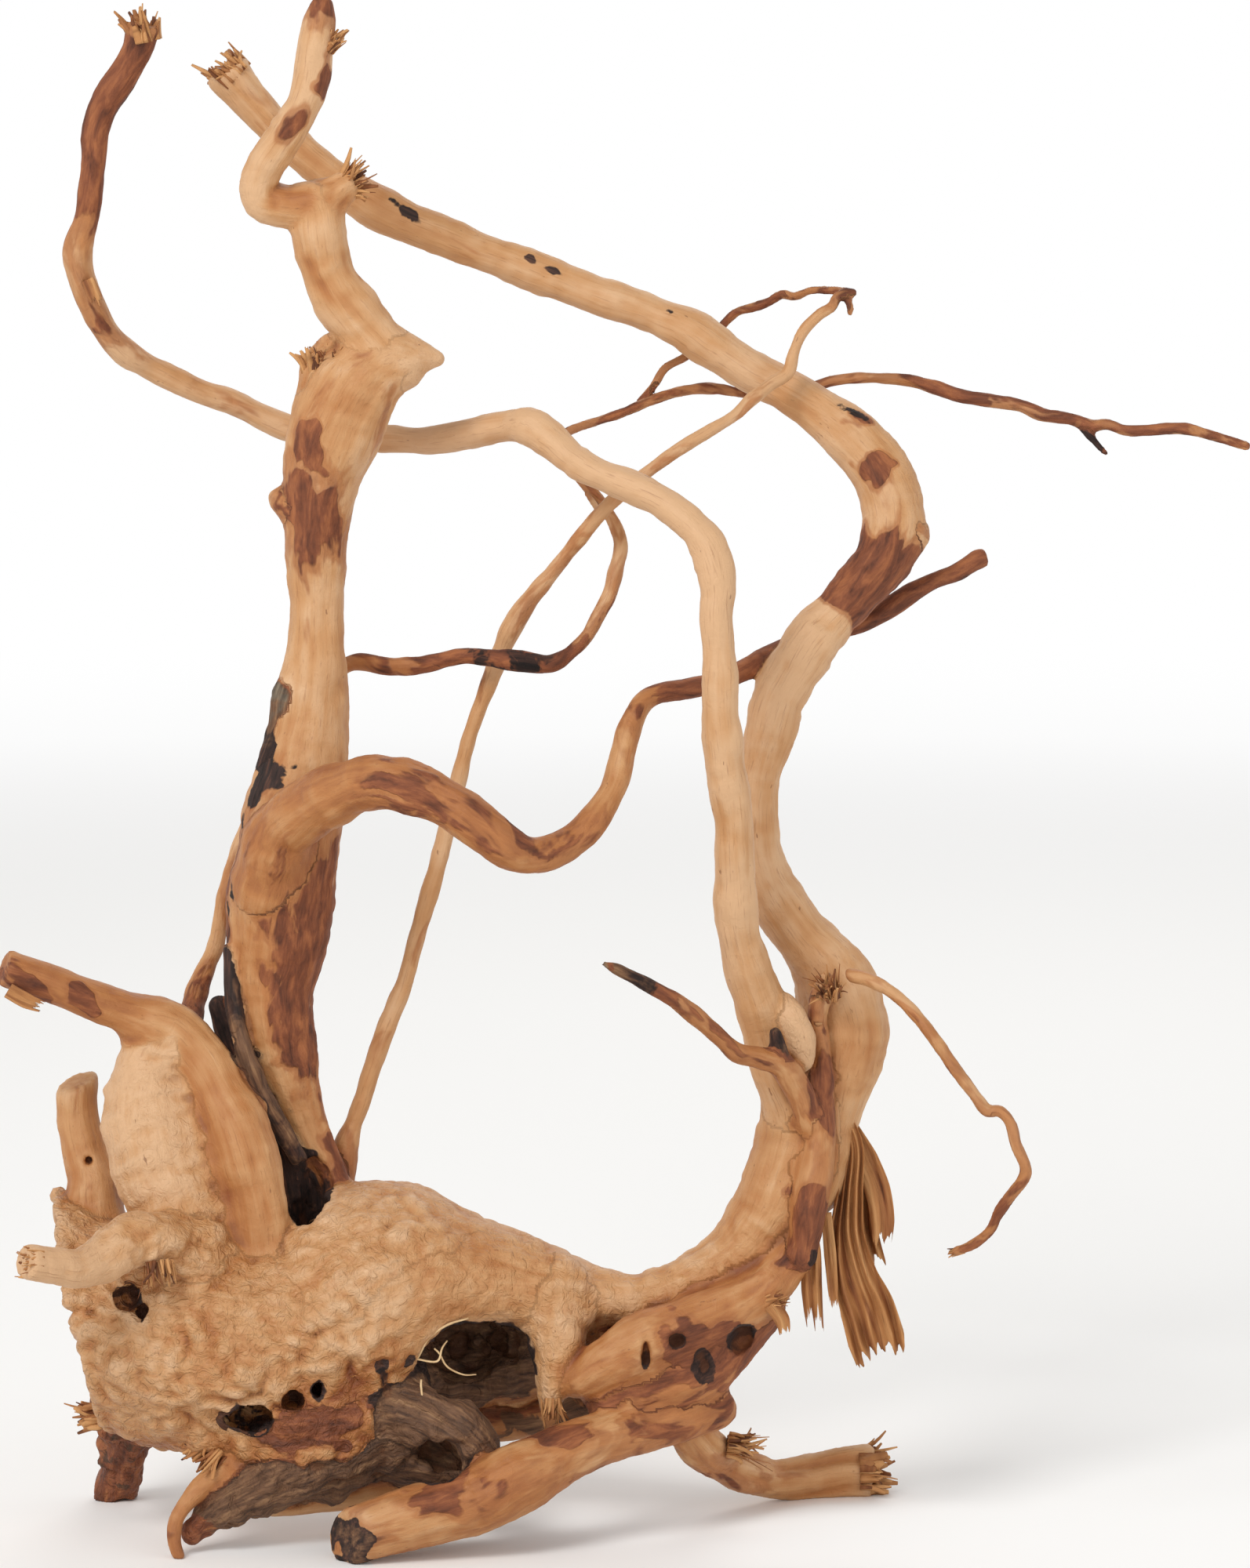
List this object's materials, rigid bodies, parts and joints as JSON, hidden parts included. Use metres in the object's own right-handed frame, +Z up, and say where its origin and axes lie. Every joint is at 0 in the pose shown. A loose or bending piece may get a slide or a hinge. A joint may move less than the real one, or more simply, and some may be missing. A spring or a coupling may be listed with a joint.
{
  "type": "driftwood root",
  "caption": "Peeled root stump standing on its own root ends, with a burl, crooked arching limbs, thin wandering twigs and torn, frayed ends; a natural centrepiece to plant or climb on.",
  "frame": {"origin": "on the surface that the root stands on, under the middle of its bounding box", "axes": "+Z up, +X to the right of the front view, +Y away from the front"},
  "size_m": [0.4807, 0.1697, 0.5865],
  "materials": {
    "root_wood": "peeled, water-worn root wood: pale tan and orange with patches of thin red-brown bark, dark weathered hollows and fibrous torn ends"
  },
  "bodies": {
    "root": {"driftwood": "root_wood"}
  },
  "joints": []
}
